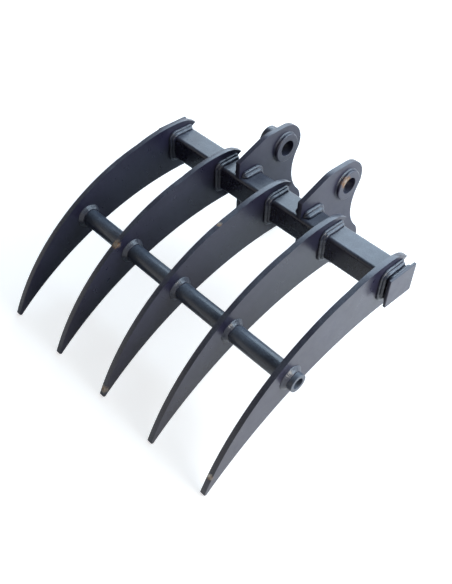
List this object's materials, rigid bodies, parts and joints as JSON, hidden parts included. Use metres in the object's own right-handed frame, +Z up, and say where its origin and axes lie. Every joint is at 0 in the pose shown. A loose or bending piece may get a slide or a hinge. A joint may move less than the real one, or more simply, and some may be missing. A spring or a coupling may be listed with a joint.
{
  "type": "excavator rake",
  "caption": "Rake attachment for a mini excavator: curved plate tines on a square beam, tied by a cross tube, with two pin ears behind.",
  "frame": {"origin": "on the ground under the middle of the rake's bounding box, as it rests on its tine tips and ear ends", "axes": "+X along the beam and the pins, -Y towards the tine tips, +Z up"},
  "size_m": [0.686, 0.6952, 0.2973],
  "materials": {
    "frame_enamel": "satin",
    "tine_enamel": "satin",
    "tube_enamel": "satin",
    "bush_steel": "satin",
    "weld_bead": "satin"
  },
  "bodies": {
    "root": {"main_beam": "frame_enamel", "cross_tube": "tube_enamel", "tine_1": "tine_enamel", "tine_1_beam_weld": "weld_bead", "tine_1_tube_weld": "weld_bead", "tine_2": "tine_enamel", "tine_2_beam_weld": "weld_bead", "tine_2_tube_weld": "weld_bead", "tine_3": "tine_enamel", "tine_3_beam_weld": "weld_bead", "tine_3_tube_weld": "weld_bead", "tine_4": "tine_enamel", "tine_4_beam_weld": "weld_bead", "tine_4_tube_weld": "weld_bead", "tine_5": "tine_enamel", "tine_5_beam_weld": "weld_bead", "tine_5_tube_weld": "weld_bead", "end_cap_left": "frame_enamel", "end_cap_left_weld": "weld_bead", "ear_left": "frame_enamel", "ear_left_beam_weld": "weld_bead", "bush_left_upper": "bush_steel", "bush_left_upper_weld": "weld_bead", "bush_left_lower": "bush_steel", "bush_left_lower_weld": "weld_bead", "end_cap_right": "frame_enamel", "end_cap_right_weld": "weld_bead", "ear_right": "frame_enamel", "ear_right_beam_weld": "weld_bead", "bush_right_upper": "bush_steel", "bush_right_upper_weld": "weld_bead", "bush_right_lower": "bush_steel", "bush_right_lower_weld": "weld_bead", "pin_collar_upper": "bush_steel", "pin_collar_upper_weld": "weld_bead", "pin_collar_lower": "bush_steel", "pin_collar_lower_weld": "weld_bead"}
  },
  "joints": []
}
